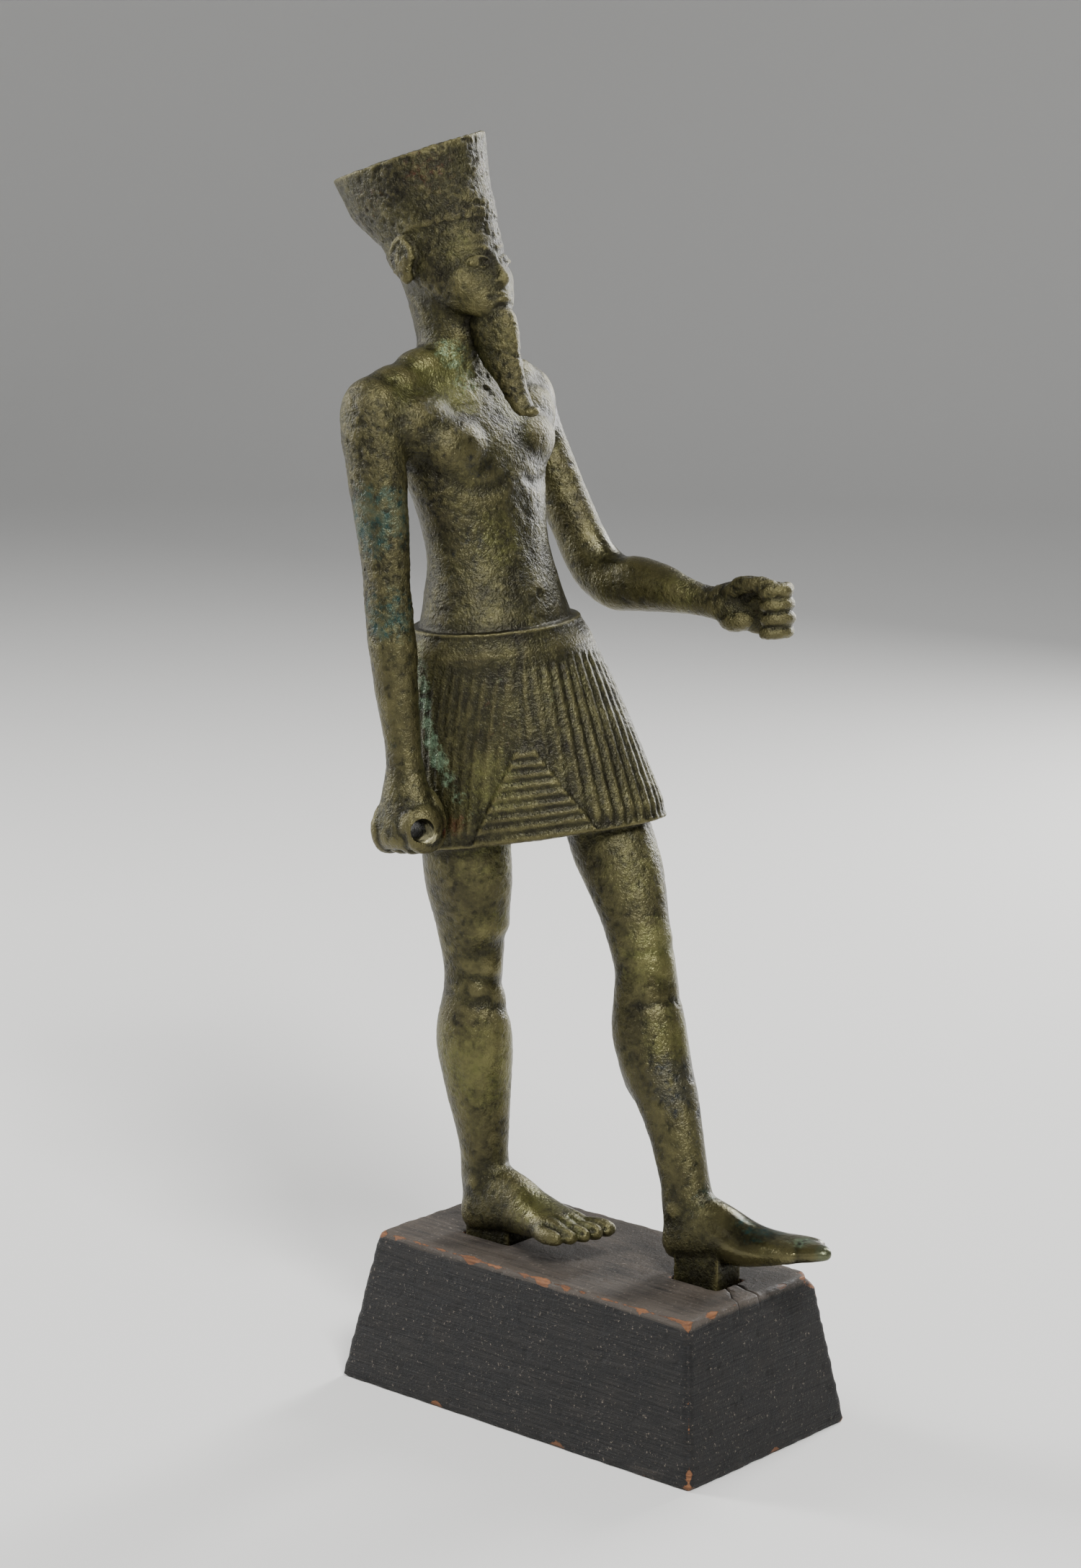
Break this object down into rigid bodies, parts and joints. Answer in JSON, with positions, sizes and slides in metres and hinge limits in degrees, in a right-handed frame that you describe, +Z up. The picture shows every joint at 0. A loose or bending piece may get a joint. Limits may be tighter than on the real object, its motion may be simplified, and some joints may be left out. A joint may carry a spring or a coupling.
{
  "type": "striding bronze figure on a wooden block",
  "caption": "Striding bearded figure in a flat-topped flaring crown and pleated kilt, one arm forward, cast in bronze and tenoned into a tapered black wooden block.",
  "frame": {"origin": "centre of the wooden block's underside, on the surface it stands on", "axes": "+Z up; the figure faces -Y, along the block's length, and its right side is at -X"},
  "size_m": [0.0978, 0.1988, 0.4024],
  "materials": {
    "patinated_bronze": "pitted olive-brown patina with green corrosion",
    "black_painted_wood": "worn black paint over orange-brown wood"
  },
  "bodies": {
    "root": {"figure": "patinated_bronze", "wooden_base": "black_painted_wood"}
  },
  "joints": []
}
